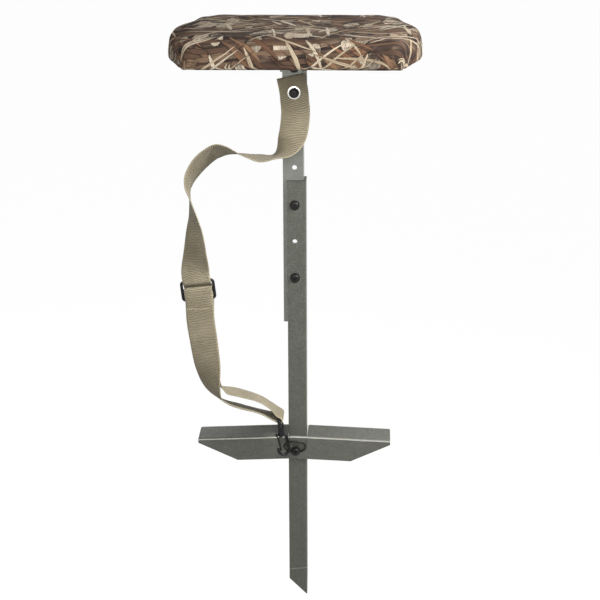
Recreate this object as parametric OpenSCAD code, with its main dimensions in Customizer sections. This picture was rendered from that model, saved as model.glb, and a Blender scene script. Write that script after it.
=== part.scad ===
// Stake seat: a padded seat on two nested steel angles that are pushed into soft ground.
// Millimetres. X runs to the right, Y to the rear, Z up. The bolt line is at X 0, the front face
// of the lower post is at Y 0, and Z 0 is the ground, level with the underside of the tread.

/* [Posts] */
// Width of each leg of the steel angles
angle_w = 25.4; // [22:0.2:32]
// Wall of the steel angles
angle_t = 3; // [2:0.5:4]
// Radius of the rolled outer corner of the angles
angle_r = 2.2; // [0.4:0.2:2.6]
// Top of the lower post above the ground
lower_top = 368; // [350:1:420]
// Depth of the stake's point below the ground
stake_depth = 242; // [150:1:320]
// Slope of the mitred point, in degrees
point_angle = 45; // [30:1:60]
// Length of the upper post
upper_len = 364; // [350:0.1:380]
// Level of the upper height bolt above the ground
bolt_level = 334; // [325:1:342]
// Distance between the holes of the upper post
hole_pitch = 25.4; // [24:0.2:27]
// Diameter of the bolt holes
hole_d = 6.6; // [6.4:0.1:8]
// Clearance between the two nested angles
nest_gap = 0.3; // [0.2:0.05:0.5]
// Distance of the lower post's free edge from the bolt line
lower_edge = 10; // [8:0.2:12]
// Width of the upper post's front leg
upper_w = 27.7; // [26.5:0.1:29]

/* [Seat] */
// Width of the padded seat
seat_w = 332; // [280:1:400]
// Depth of the padded seat, front to back
seat_d = 240; // [200:1:300]
// How far the seat's front corners are drawn in from its widest part
front_cut = 26; // [12:1:45]
// How far the seat's rear corners are drawn in from its widest part
rear_cut = 30; // [12:1:45]
// Length of the straight stretch at the seat's widest part
side_run = 49; // [46:1:80]
// Middle of that stretch in front of the seat's centre
side_front = 9.5; // [0:0.5:15]
// Rounding of the seat's corners, measured along its edges
seat_round = 22; // [8:1:22]
// Thickness of the padded seat at its edge
seat_h = 37; // [30:1:50]
// Rise of the crown in the middle of the seat
seat_crown = 5; // [2:0.5:12]
// Inward bow of the seat's sides between the corners
seat_draw = 2; // [0:0.5:4]
// Thickness of the plywood board
board_t = 10; // [6:0.5:15]
// Thickness of the woven cover
cover_t = 1.5; // [1:0.1:2.5]
// Width of the cover's hem under the board
hem_w = 24; // [15:1:40]
// Seat centre to the right of the bolt line
seat_x = 2; // [-10:0.5:10]
// Seat centre behind the post's front face
seat_y = 12.5; // [0:0.5:25]
// Width of the steel plate under the board
plate_w = 120; // [90:1:160]
// Depth of the steel plate under the board
plate_d = 90; // [70:1:130]
// Thickness of the steel plate and of the cleat
plate_t = 3; // [2:0.5:4]
// Depth of the cleat's vertical leg below the seat plate
cleat_h = 20; // [18:0.2:26]
// Length of the cleat's leg that is welded under the seat plate
cleat_run = 46; // [35:1:60]
// How far the cleat stands out beside the upper post
cleat_side = 3.1; // [2:0.1:6]
// Level of the seat bolt below the seat plate
seat_bolt_drop = 13.8; // [12.4:0.2:14.4]

/* [Foot plate] */
// Width of the foot plate
foot_w = 268; // [220:1:320]
// Depth of the tread, front to back
tread_d = 46; // [40:1:65]
// Height of the foot plate's front leg
foot_h = 33.5; // [30:0.5:45]
// Thickness of the foot plate
foot_t = 3; // [2:0.5:4]
// Outer radius of the foot plate's bend
bend_r = 3.2; // [2:0.2:5]
// Width of the cut at the lower corners
foot_cut_w = 55; // [30:1:70]
// Height of the cut at the lower corners
foot_cut_h = 27.5; // [12:0.5:28]
// Fall of each wing towards its end, in degrees
wing_fall = 2.5; // [0:0.5:4]
// Foot plate centre to the left of the bolt line
foot_x = 2.4; // [-6:0.2:6]
// Clearance of the notch round the post
notch_gap = 0.6; // [0.4:0.1:3]
// Radius of the rounded corners of the tread
tread_r = 3; // [2:0.5:8]
// Level of the foot bolt below the ground
foot_bolt_drop = 15; // [13:0.5:18]

/* [Bolts] */
// Diameter of the bolts
bolt_d = 6; // [5:0.1:6.2]
// Diameter of the flanged button heads
head_d = 13.6; // [11:0.2:16]
// Height of the button heads
head_h = 4; // [3:0.2:6]
// Thickness of the flange under the button heads
flange_t = 1.2; // [0.8:0.1:1.6]
// Size of the socket across its flats
socket_w = 4; // [3:0.1:5]
// Size of the nuts across their flats
nut_w = 10; // [9:0.1:12]
// Height of the nuts
nut_h = 6; // [4:0.2:8]
// Length of thread that stands out behind a nut
thread_out = 2; // [1:0.2:5]
// Clearance between thread and nut
thread_gap = 0.1; // [0.05:0.01:0.2]

/* [Ring and hook] */
// Diameter of the ring's wire
ring_wire = 2.8; // [2.4:0.1:3]
// Diameter of the ring, to the middle of its wire
ring_d = 29.6; // [29:0.2:31]
// Forward lean of the ring, in degrees
ring_lean = 38; // [37:1:40]
// Swing of the ring to the left of upright, in degrees
ring_swing = 5; // [3:1:7]
// Diameter of the foot bolt's shoulder, which the ring hangs on
shoulder_d = 7; // [6.6:0.1:8]
// Length of the foot bolt's shoulder
shoulder_len = 10.6; // [10.4:0.2:12]
// Play between the shoulder and the ring
ring_play = 0.4; // [0.3:0.05:0.6]
// Thickness of the hook's round bar
hook_bar = 4.2; // [3.6:0.1:4.4]
// Diameter of the hook's curve, to the middle of its bar
hook_curve = 15.2; // [14.4:0.2:16]
// Diameter of the hook's collar
collar_d = 8.4; // [8:0.1:9]
// Height of the hook's collar
collar_h = 9; // [8:0.2:11]
// Thickness of the hook's sprung tongue
tongue_t = 1.8; // [1.4:0.1:2.2]
// Width of the hook's sprung tongue
tongue_w = 4; // [3:0.2:4.4]
// Diameter of the swivel's stud
stud_d = 4.4; // [3.6:0.1:5]
// Height of the swivel loop above the collar
loop_h = 17; // [15:0.5:20]
// Diameter of the swivel loop's bar
loop_bar = 4.4; // [3.6:0.1:4.6]
// Running clearance of the swivel and of the tongue
swivel_gap = 0.3; // [0.2:0.05:0.4]

/* [Strap] */
// Width of the webbing
strap_w = 38.1; // [30:0.1:38.4]
// Thickness of the webbing
strap_t = 1.8; // [1.4:0.1:2]
// Level of the strap bolt below the seat plate
strap_drop = 46.5; // [45.4:0.1:50]
// Outer diameter of the grommet
grommet_d = 17.2; // [16:0.2:20]
// Thickness of the grommet's sheet
grommet_t = 0.8; // [0.5:0.1:1]
// Thickness of the slider's bars
slider_bar = 4; // [3.4:0.1:4.2]
// Distance between the slider's cross bars
slider_pitch = 12.6; // [11.6:0.1:13]
// Play of the webbing between the slider's rails
slider_play = 0.6; // [0.4:0.05:1]
// Radius of the slider's corners, to the middle of its bars
slider_corner = 3.4; // [2.6:0.1:3.8]

/* [Hidden] */
$fn = 48;
steel = [0.43, 0.43, 0.40];
black = [0.07, 0.07, 0.08];
nickel = [0.74, 0.74, 0.72];
tan_web = [0.58, 0.54, 0.45];
fabric = [0.36, 0.29, 0.23];
wood = [0.72, 0.58, 0.40];
foam = [0.86, 0.83, 0.72];
eps = 0.01;
far = 400;

// The posts: where the legs of the two angles lie
lower_right = angle_w - lower_edge;
upper_right = lower_right - angle_t - nest_gap;
upper_edge = upper_w - upper_right;
upper_front = angle_t + nest_gap;
upper_back = upper_front + angle_t;
holes_below = 6;
first_hole = bolt_level - holes_below * hole_pitch;
upper_bottom = first_hole - hole_pitch / 2;
upper_top = upper_bottom + upper_len;
strap_level = upper_top - strap_drop;
upper_holes = [for (z = [first_hole:hole_pitch:strap_level - hole_pitch / 2]) z];
bolt_spread = 4 * hole_pitch;
lower_holes = [0, bolt_spread / 2, bolt_spread];
seat_bolt_level = upper_top - seat_bolt_drop;
stop_t = 4.5;
stop_len = 40;
stop_drop = 18.4;
stop_top = upper_top - stop_drop;
stop_depth = 14;

// The seat: levels of its plate, board and cover
plate_z = upper_top;
board_z = plate_z + plate_t;
cover_gap = 0.3;
screw_inset = 14;
insert_d = bolt_d + 2 * thread_gap + 2.4;

// Nut places behind the posts
foot_nut_y = angle_t;
height_nut_y = upper_back + nest_gap;
strap_nut_y = upper_back;
seat_nut_y = upper_back + plate_t;

// The ring: it hangs on the foot bolt's shoulder and leans against the foot plate
ring_low = (shoulder_d / 2 + ring_wire / 2 + ring_play) / cos(ring_lean);
ring_hold = ring_d / 2 - ring_low;
ring_y = -foot_t - ring_play - ring_wire / 2 - ring_low * sin(ring_lean);
ring_mid = [-ring_hold * sin(ring_swing), ring_y - ring_hold * cos(ring_swing) * sin(ring_lean),
    ring_hold * cos(ring_swing) * cos(ring_lean) - foot_bolt_drop];

// The hook: its neck, the lean of its axis and the turn of its flat side
neck = ring_mid + [-19, -4.6, 30.4];
hook_lean = -4.2;
hook_turn = 21;
curve_at = [1.5, -collar_h - 24];
hook_wrap = 190;
knuckle = 1.06;
curve_r = hook_curve / 2;
hook_tip = curve_at + curve_r * [cos(hook_wrap), -sin(hook_wrap)];
bar_at = neck + loop_h * [sin(hook_lean), 0, cos(hook_lean)];
spine_foot = [1.6, -collar_h - 1];
spine_top = [6.6, -collar_h - 4];
stud_head = 2;
floor_z = 1.6 - collar_h;
boss_h = 4;
tongue_top = [-5.8, -collar_h - 2.5];
tongue_low = curve_at + [hook_bar * knuckle / 2 + tongue_t / 2 + 0.6 - curve_r, -0.5];
tongue_eye = 3.6;
pin_d = 1.6;
pin_gap = 0.08;
ear_t = 1.2;
ear_y = tongue_w / 2 + swivel_gap;

// The slider: its middle and its lean
slider_at = [-129.5, -26, 222];
slider_lean = -6.5;
rail_x = strap_w / 2 + slider_play + slider_bar / 2;

// The webbing's route from its bolted end to its sewn end: a point and the way its width runs.
// It hangs from the grommet, swings out to the left, passes in front of the slider's top bar and
// behind the other two, goes round the swivel loop's bar and is sewn round the slider's middle bar.
web_y = 0.8;
web_gap = 0.1;
barrel = hole_d + 0.2;
web_turn = slider_bar / 2 + strap_t / 2 + 0.6;
web_behind = web_turn + strap_t + 0.3;
bar_turn = loop_bar / 2 + strap_t / 2 + 0.5;
slider_way = [cos(slider_lean), 0, -sin(slider_lean)];
function at_slider(y, z) = [slider_at + [z * sin(slider_lean), y, z * cos(slider_lean)], slider_way];
function at_bar(x, z, rise = 0) = [bar_at + [x, 0, z], [0, -1, rise]];
upper_route = [
    [[-4.2, web_y, strap_level + 22], [1, 0, 0.2]],
    [[-1.7, web_y, strap_level + 10], [1, 0, 0.16]],
    [[0, web_y, strap_level], [1, 0, 0.08]],
    [[0.7, web_y, strap_level - 10], [1, 0, 0]],
    [[1.4, web_y, strap_level - 17], [1, 0, 0]],
    [[2, -1.5, strap_level - 28], [0.97, 0.1, -0.05]],
    [[-1, -8, strap_level - 53], [0.95, -0.2, -0.25]],
    [[-10, -15, strap_level - 71], [0.75, -0.65, -0.1]],
    [[-26, -19, 404.5], [0.2, -0.97, 0.1]],
    [[-47, -20, 403], [0.25, -0.96, -0.05]],
    [[-73, -21, 409], [0.08, -0.97, 0.22]],
    [[-92, -22, 413], [0.08, -0.84, 0.54]],
    [[-105, -22, 411], [0.05, -0.72, 0.69]],
    [[-122, -24, 398], [-0.11, -0.71, 0.7]],
    [[-135, -26, 380], [-0.2, -0.8, 0.53]],
    [[-139, -28, 364], [-0.1, -0.88, 0.45]],
    [[-137, -29, 348], [0.1, -0.96, 0.24]],
    [[-133, -30, 323], [0.39, -0.9, 0.2]],
    [[-132, -30, 305], [0.62, -0.75, 0.15]],
    [[-132, -30, 272], [0.88, -0.47, 0.1]]
];
slider_route = [
    at_slider(-web_turn - 0.3, slider_pitch * 2),
    at_slider(-web_turn - 0.1, slider_pitch * 1.4),
    at_slider(-web_turn, slider_pitch),
    at_slider(-web_turn * 0.76, slider_pitch - web_turn * 0.7),
    at_slider(-0.2, slider_pitch - web_turn * 1.25),
    at_slider(web_turn * 0.85, slider_pitch - web_turn * 1.85),
    at_slider(web_behind - 0.7, 2.6),
    at_slider(web_behind, -1),
    at_slider(web_behind, -slider_pitch / 2)
];
return_route = [
    at_slider(web_behind - 0.5, -slider_pitch * 1.33),
    [[-128, -20, 180], [0.99, 0, 0.03]],
    [[-124.5, -19, 150], [0.99, -0.05, -0.1]],
    [[-120, -18, 118], [0.95, -0.25, -0.15]],
    [[-113.5, -18, 95], [0.75, -0.65, -0.1]],
    [[-98, -18, 78], [0.4, -0.9, 0]],
    [[-76, -18, 72], [0.07, -0.99, 0.05]],
    at_bar(-29, 25.5, 0.12),
    at_bar(-13, 15.5, 0.12),
    at_bar(-4, 7),
    at_bar(1.4, bar_turn),
    at_bar(bar_turn + 0.8, 0)
];
loop_route = [
    at_bar(1.4, -bar_turn),
    at_bar(-7, -1.2, 0.05),
    at_bar(-28, 6.5, 0.22),
    [[-76, -20, 53], [0.08, -0.97, 0.18]],
    [[-95, -22, 60], [0.3, -0.94, 0.15]],
    [[-108, -25, 71], [0.5, -0.86, 0.05]],
    [[-115, -27, 90], [0.75, -0.65, 0.05]],
    [[-119, -28, 118], [0.95, -0.25, -0.1]],
    [[-123, -28.5, 150], [0.99, -0.05, -0.1]],
    [[-126.6, -29.2, 180], [0.99, 0, 0.05]],
    at_slider(-web_turn - 0.2, -slider_pitch * 1.33),
    at_slider(-web_turn - 0.1, -slider_pitch * 0.6),
    at_slider(-web_turn, 0),
    at_slider(-web_turn * 0.72, web_turn * 0.72),
    at_slider(0, web_turn),
    at_slider(web_turn * 0.72, web_turn * 0.72),
    at_slider(web_turn, 0),
    at_slider(web_turn - 0.1, -4)
];
route = concat(upper_route, slider_route, return_route, loop_route);
slider_row = len(upper_route) + len(slider_route) - 1;
loop_row = slider_row + len(return_route);
ring_step = 12;
ring_turn = 24;

// Section of an equal steel angle: corner at the right front, rounded outside, filleted inside
function arc(c, r, a0, a1, n) = [for (i = [0:n]) c + r * [cos(a0 + (a1 - a0) * i / n),
    sin(a0 + (a1 - a0) * i / n)]];
function angle_section(edge, right, front) = let (
    inner = right - angle_t,
    back = front + angle_t,
    fillet = angle_r + 0.3)
    concat(
        [[-edge, front]],
        arc([right - angle_r, front + angle_r], angle_r, -90, 0, 6),
        [[right, front + angle_w], [inner, front + angle_w]],
        arc([inner - fillet, back + fillet], fillet, 0, -90, 6),
        [[-edge, back]]);

module hole_along_y(z, d, from, to) {
    translate([0, from, z])
        rotate([-90, 0, 0])
            cylinder(d = d, h = to - from);
}

// Flanged button-head bolt: its seat is at Y 0, the head in front and the shank behind
module button_bolt(len) {
    crown = head_h - flange_t;
    flat_r = head_d * 0.2;
    socket_depth = head_h * 0.6;
    rotate([-90, 0, 0]) {
        difference() {
            union() {
                translate([0, 0, -flange_t])
                    cylinder(d = head_d, h = flange_t);
                translate([0, 0, -head_h])
                    rotate_extrude()
                        polygon(concat([[0, 0]],
                            arc([flat_r, crown], crown, -90, -10, 8),
                            [[flat_r + crown, crown], [0, crown]]));
            }
            translate([0, 0, -head_h - eps])
                cylinder(d = socket_w / cos(30), h = socket_depth, $fn = 6);
        }
        cylinder(d = bolt_d, h = len);
    }
}

// Hexagon nut with chamfered corners: its seat is at Y 0
module hex_nut() {
    corner_d = nut_w * 1.16;
    tip_d = nut_w * 0.86;
    chamfer = nut_h * 0.2;
    rotate([-90, 0, 0])
        difference() {
            intersection() {
                rotate([0, 0, 30])
                    cylinder(d = nut_w / cos(30), h = nut_h, $fn = 6);
                union() {
                    cylinder(d = corner_d, h = nut_h - chamfer);
                    translate([0, 0, nut_h - chamfer])
                        cylinder(d1 = corner_d, d2 = tip_d, h = chamfer);
                }
            }
            translate([0, 0, -eps])
                cylinder(d = bolt_d + 2 * thread_gap, h = nut_h + 2 * eps);
        }
}

module lower_post() {
    color(steel)
        difference() {
            translate([0, 0, -stake_depth])
                linear_extrude(lower_top + stake_depth)
                    polygon(angle_section(lower_edge, lower_right, 0));
            for (drop = lower_holes)
                hole_along_y(bolt_level - drop, hole_d, -eps, angle_t + eps);
            hole_along_y(-foot_bolt_drop, hole_d, -eps, angle_t + eps);
            translate([lower_right, -eps, -stake_depth])
                rotate([0, point_angle, 0])
                    translate([-far, -eps, -far])
                        cube([far + angle_w, angle_w + 1, far]);
            translate([lower_edge, 0, -stake_depth])
                rotate([point_angle, 0, 0])
                    translate([0, -angle_w, -far])
                        cube([angle_w, far, far]);
        }
}

// Prism that takes the sharp corner off an edge along X, leaving a radius
module edge_round(len, r) {
    difference() {
        translate([-eps, -eps, -r])
            cube([len + eps, r + eps, r + eps]);
        translate([-2 * eps, r, -r])
            rotate([0, 90, 0])
                cylinder(r = r, h = len + 4 * eps);
    }
}

// Upright prism that takes a corner off the tread, leaving a radius
module corner_round(r) {
    difference() {
        translate([-eps, -eps, -far / 2])
            cube([r + eps, r + eps, far]);
        translate([r, r, -far / 2 - 1])
            cylinder(r = r, h = far + 2);
    }
}

module foot_plate() {
    half = foot_w / 2;
    fall = half * tan(wing_fall);
    low_half = half - foot_cut_w;
    low = -foot_h - low_half * tan(wing_fall);
    end_low = foot_cut_h - foot_h - fall;
    notch_left = -lower_edge - notch_gap;
    notch_right = lower_right + notch_gap;
    rear = tread_d - foot_t;
    color(steel)
        difference() {
            translate([0, 0, foot_t])
                union() {
                    translate([-foot_x, 0, 0])
                        rotate([90, 0, 0])
                            linear_extrude(foot_t)
                                polygon([[-half, -fall], [0, 0], [half, -fall], [half, end_low],
                                    [low_half, low], [0, -foot_h], [-low_half, low], [-half, end_low]]);
                    difference() {
                        translate([-foot_x, rear, 0])
                            rotate([90, 0, 0])
                                linear_extrude(tread_d)
                                    polygon([[-half, -fall], [0, 0], [half, -fall],
                                        [half, -fall - foot_t], [0, -foot_t], [-half, -fall - foot_t]]);
                        translate([notch_left, 0, -far / 2])
                            cube([notch_right - notch_left, far, far]);
                        translate([notch_left, rear, 0])
                            rotate([0, 0, 180])
                                corner_round(tread_r);
                        translate([notch_right, rear, 0])
                            mirror([0, 1, 0])
                                corner_round(tread_r);
                        translate([-foot_x - half, rear, 0])
                            mirror([0, 1, 0])
                                corner_round(tread_r);
                        translate([-foot_x + half, rear, 0])
                            rotate([0, 0, 180])
                                corner_round(tread_r);
                    }
                }
            for (side = [0, 1])
                translate([-foot_x, -foot_t, foot_t])
                    mirror([side, 0, 0])
                        rotate([0, wing_fall, 0])
                            edge_round(half + bend_r, bend_r);
            hole_along_y(-foot_bolt_drop, hole_d, -foot_t - eps, eps);
        }
}

// Shoulder bolt: its shoulder clamps the foot plate and the ring hangs on it
module foot_bolt() {
    color(black)
        translate([0, -foot_t, -foot_bolt_drop]) {
            translate([0, -shoulder_len, 0])
                button_bolt(shoulder_len);
            rotate([90, 0, 0])
                cylinder(d = shoulder_d, h = shoulder_len);
            rotate([-90, 0, 0])
                cylinder(d = bolt_d, h = foot_t + angle_t + nut_h + thread_out);
        }
}

module foot_nut() {
    color(black)
        translate([0, foot_nut_y, -foot_bolt_drop])
            hex_nut();
}

module carry_ring() {
    color(black)
        translate([0, ring_y, -foot_bolt_drop])
            rotate([ring_lean, 0, 0])
                rotate([0, -ring_swing, 0])
                    translate([0, 0, ring_hold])
                        rotate([90, 0, 0])
                            rotate_extrude()
                                translate([ring_d / 2, 0])
                                    circle(d = ring_wire, $fn = 24);
}

module height_bolts() {
    color(black)
        for (drop = [0, bolt_spread])
            translate([0, 0, bolt_level - drop])
                button_bolt(height_nut_y + nut_h + thread_out);
}

module height_nuts() {
    color(black)
        for (drop = [0, bolt_spread])
            translate([0, height_nut_y, bolt_level - drop])
                hex_nut();
}

module upper_post() {
    color(steel)
        difference() {
            translate([0, 0, upper_bottom])
                linear_extrude(upper_len)
                    polygon(angle_section(upper_edge, upper_right, upper_front));
            for (z = concat(upper_holes, [strap_level, seat_bolt_level]))
                hole_along_y(z, hole_d, upper_front - eps, upper_back + eps);
        }
}

// Strip on the outside of the upper post's flange that meets the lower post at its lowest setting
module stop_plate() {
    color(steel)
        translate([upper_right, upper_front + angle_r, stop_top - stop_len])
            cube([stop_t, stop_depth, stop_len]);
}

module seat_cleat() {
    left = -upper_edge - cleat_side;
    right = upper_right - angle_t - 2 * angle_r;
    color(steel)
        difference() {
            union() {
                translate([left, upper_back, plate_z - cleat_h])
                    cube([right - left, plate_t, cleat_h]);
                translate([left, upper_back, plate_z - plate_t])
                    cube([right - left, cleat_run, plate_t]);
            }
            hole_along_y(seat_bolt_level, hole_d, upper_back - eps, upper_back + plate_t + eps);
        }
}

module at_seat_screws() {
    dx = plate_w / 2 - screw_inset;
    dy = plate_d / 2 - screw_inset;
    for (sx = [-1, 1], sy = [-1, 1])
        translate([seat_x + sx * dx, seat_y + sy * dy, plate_z])
            children();
}

module seat_plate() {
    color(steel)
        difference() {
            translate([seat_x - plate_w / 2, seat_y - plate_d / 2, plate_z])
                cube([plate_w, plate_d, plate_t]);
            at_seat_screws()
                translate([0, 0, -eps])
                    cylinder(d = hole_d, h = plate_t + 2 * eps);
        }
}

module seat_bolt() {
    color(black)
        translate([0, upper_front, seat_bolt_level])
            button_bolt(angle_t + plate_t + nut_h + thread_out);
}

module seat_nut() {
    color(black)
        translate([0, seat_nut_y, seat_bolt_level])
            hex_nut();
}

// Screws and the threaded inserts that they turn into, flush with the top of the board
module seat_screws() {
    short = 1;
    color(black)
        at_seat_screws()
            rotate([90, 0, 0])
                button_bolt(plate_t + board_t - short);
}

module insert_nuts() {
    color(nickel)
        at_seat_screws()
            translate([0, 0, plate_t])
                difference() {
                    cylinder(d = insert_d, h = board_t);
                    translate([0, 0, -eps])
                        cylinder(d = bolt_d + 2 * thread_gap, h = board_t + 2 * eps);
                }
}

// Outline of the seat, inset all round: eight corners from the front left, each rounded by a
// parabola, and between them the sides are drawn in, the longer ones further.
function seat_corners(hw, hd) = let (
    front = -side_front - side_run / 2,
    rear = side_run / 2 - side_front)
    [[front_cut - hw, -hd], [hw - front_cut, -hd], [hw, front], [hw, rear],
    [hw - rear_cut, hd], [rear_cut - hw, hd], [-hw, rear], [-hw, front]];
function bent(a, b, c, n) = let (
    p = b + unit(a - b) * seat_round,
    q = b + unit(c - b) * seat_round)
    [for (i = [0:n]) let (t = i / n) p * (1 - t) * (1 - t) + b * 2 * t * (1 - t) + q * t * t];
function drawn(a, b) = (a + b) / 2
    + seat_draw * norm(b - a) / seat_w * unit([a[1] - b[1], b[0] - a[0]]);
sharp_steps = 6;
blunt_steps = 2;
function seat_outline(inset) = let (
    c = seat_corners(seat_w / 2 - inset, seat_d / 2 - inset))
    [for (i = [0:7]) each let (
        n = i % 4 < 2 ? sharp_steps : blunt_steps,
        next = c[(i + 1) % 8])
        concat(bent(c[(i + 7) % 8], c[i], next, n), [drawn(c[i], next)])];
function shrunk(s) = [for (p = seat_outline(0)) p * s];

// Levels of the cover's outer skin: how far each ring lies in from the outline, and its height
// on a seat of the drawn thickness
drawn_h = 34;
skin_h = seat_h / drawn_h;
cover_skin = [[hem_w, 0], [6, 0], [1.5, 1.5], [0.4, 6], [0, 13], [0.6, 20], [2.6, 26], [6.5, 30.6],
    [13, 33.4]];
// Rings on the crown: their share of the outline's size and of the crown's rise
cover_top = [[0.78, 0.36], [0.5, 0.72], [0.2, 0.95]];

function level(points, z) = [for (p = points) [p[0] + seat_x, p[1] + seat_y, z]];
function skin_rings(grow, base) = concat(
    [for (k = [1:len(cover_skin) - 1])
        level(seat_outline(cover_skin[k][0] + grow), base + cover_skin[k][1] * skin_h)],
    [for (t = cover_top)
        level(shrunk(t[0]), base + seat_h + seat_crown * t[1])]);
function band(n, a, b) = [for (i = [0:n - 1]) each let (j = (i + 1) % n)
    [[a * n + i, b * n + j, a * n + j], [a * n + i, b * n + i, b * n + j]]];
function fan(n, ring, tip, up) = [for (i = [0:n - 1]) let (j = (i + 1) % n)
    up ? [tip, ring * n + j, ring * n + i] : [tip, ring * n + i, ring * n + j]];

module closed_rings(rings, tip) {
    n = len(rings[0]);
    m = len(rings);
    points = concat([for (r = rings) each r], [tip]);
    faces = concat(
        [for (k = [0:m - 2]) each band(n, k, k + 1)],
        fan(n, m - 1, n * m, true),
        [[for (i = [0:n - 1]) i]]);
    polyhedron(points, faces);
}

module seat_board() {
    edge = 2 * cover_t + cover_gap;
    color(wood)
        difference() {
            translate([seat_x, seat_y, board_z])
                linear_extrude(board_t)
                    polygon(seat_outline(edge));
            at_seat_screws()
                translate([0, 0, plate_t - eps])
                    cylinder(d = insert_d + 2 * thread_gap, h = board_t + 2 * eps);
        }
}

// Foam block on the board, crowned like the cover
module seat_foam() {
    grow = cover_t + cover_gap;
    base = board_z - cover_t - cover_gap;
    first = board_z + board_t + cover_gap;
    rings = skin_rings(grow, base - grow);
    shown = [for (r = rings) if (r[0][2] > first + 1) r];
    color(foam)
        closed_rings(concat([level(seat_outline(grow + 0.2), first)], shown),
            [seat_x, seat_y, base - grow + seat_h + seat_crown]);
}

// Woven cover: a skin of even thickness, turned under the board and stapled there
module seat_cover() {
    base = board_z - cover_t - cover_gap;
    outer = concat([level(seat_outline(hem_w), base)], skin_rings(0, base));
    inner = concat([level(seat_outline(hem_w), base + cover_t)],
        [level(seat_outline(cover_skin[1][0] + cover_t), base + cover_t)],
        [for (k = [2:len(cover_skin) - 1])
            level(seat_outline(cover_skin[k][0] + cover_t),
                base + max(cover_skin[k][1] * skin_h - cover_t, cover_t))],
        [for (t = cover_top) level(shrunk(t[0]), base - cover_t + seat_h + seat_crown * t[1])]);
    n = len(outer[0]);
    m = len(outer);
    points = concat([for (r = outer) each r], [for (r = inner) each r],
        [[seat_x, seat_y, base + seat_h + seat_crown],
        [seat_x, seat_y, base + seat_h + seat_crown - cover_t]]);
    faces = concat(
        [for (k = [0:m - 2]) each band(n, k, k + 1)],
        fan(n, m - 1, 2 * n * m, true),
        [for (k = [m:2 * m - 2]) each band(n, k + 1, k)],
        fan(n, 2 * m - 1, 2 * n * m + 1, false),
        band(n, m, 0));
    color(fabric)
        polyhedron(points, faces);
}

// Grommet through the end of the webbing: two flanges on one barrel
module strap_grommet() {
    half = strap_t / 2 + web_gap;
    color(nickel)
        translate([0, web_y, strap_level])
            rotate([90, 0, 0])
                rotate_extrude()
                    polygon([[barrel / 2, -half - grommet_t], [grommet_d / 2, -half - grommet_t / 2],
                        [grommet_d / 2, -half], [barrel / 2 + grommet_t, -half],
                        [barrel / 2 + grommet_t, half], [grommet_d / 2, half],
                        [grommet_d / 2, half + grommet_t / 2], [barrel / 2, half + grommet_t]]);
}

strap_seat_y = web_y - strap_t / 2 - web_gap - grommet_t;

module strap_bolt() {
    color(black)
        translate([0, strap_seat_y, strap_level])
            button_bolt(strap_nut_y - strap_seat_y + nut_h + thread_out);
}

module strap_nut() {
    color(black)
        translate([0, strap_nut_y, strap_level])
            hex_nut();
}

// The webbing: a smooth curve through the route's rows, swept with a flat six-sided section
function curve(a, b, c, d, t) = 0.5 * (2 * b + (c - a) * t + (2 * a - 5 * b + 4 * c - d) * t * t
    + (3 * b - a - 3 * c + d) * t * t * t);
function row(i) = route[max(0, min(len(route) - 1, i))];
function slope(a, b, c, d, t) = 0.5 * ((c - a) + 2 * (2 * a - 5 * b + 4 * c - d) * t
    + 3 * (3 * b - a - 3 * c + d) * t * t);
function spot(i, t) = curve(row(i - 1)[0], row(i)[0], row(i + 1)[0], row(i + 2)[0], t);
function ahead(i, t) = unit(slope(row(i - 1)[0], row(i)[0], row(i + 1)[0], row(i + 2)[0], t));
function width(i, t) = curve(row(i - 1)[1], row(i)[1], row(i + 1)[1], row(i + 2)[1], t);
function unit(v) = v / norm(v);
function web_ring(i, t) = let (
    along = ahead(i, t),
    w = width(i, t),
    across = unit(w - along * (w * along)),
    face = cross(along, across),
    hw = strap_w / 2,
    ht = strap_t / 2,
    edge = hw - ht)
    [for (q = [[-hw, 0], [-edge, ht], [edge, ht], [hw, 0], [edge, -ht], [-edge, -ht]])
        spot(i, t) + q[0] * across + q[1] * face];
// A stretch between two rows gets more rings where it is long or where it turns
function web_steps(i) = max(
    ceil(norm(row(i + 1)[0] - row(i)[0]) / ring_step),
    ceil(acos(min(1, ahead(i, 0) * ahead(i, 1))) / ring_turn));
function web_rings(first, last) = [for (i = [first:last - 1]) each let (
    steps = max(1, web_steps(i)),
    stop = i == last - 1 ? steps : steps - 1)
    [for (k = [0:stop]) web_ring(i, k / steps)]];

module webbing(first, last) {
    rings = web_rings(first, last);
    n = len(rings[0]);
    m = len(rings);
    points = [for (r = rings) each r];
    faces = concat(
        [for (k = [0:m - 2]) each band(n, k + 1, k)],
        [[for (i = [n - 1:-1:0]) i]],
        [[for (i = [0:n - 1]) (m - 1) * n + i]]);
    color(tan_web)
        polyhedron(points, faces);
}

module shoulder_strap() {
    difference() {
        webbing(0, slider_row);
        translate([0, upper_front + 1, strap_level])
            rotate([90, 0, 0])
                cylinder(d = barrel + 2 * grommet_t + 2 * nest_gap, h = angle_w);
    }
}

module strap_return() {
    webbing(slider_row, loop_row);
}

module strap_loop() {
    webbing(loop_row, len(route) - 1);
}

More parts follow.
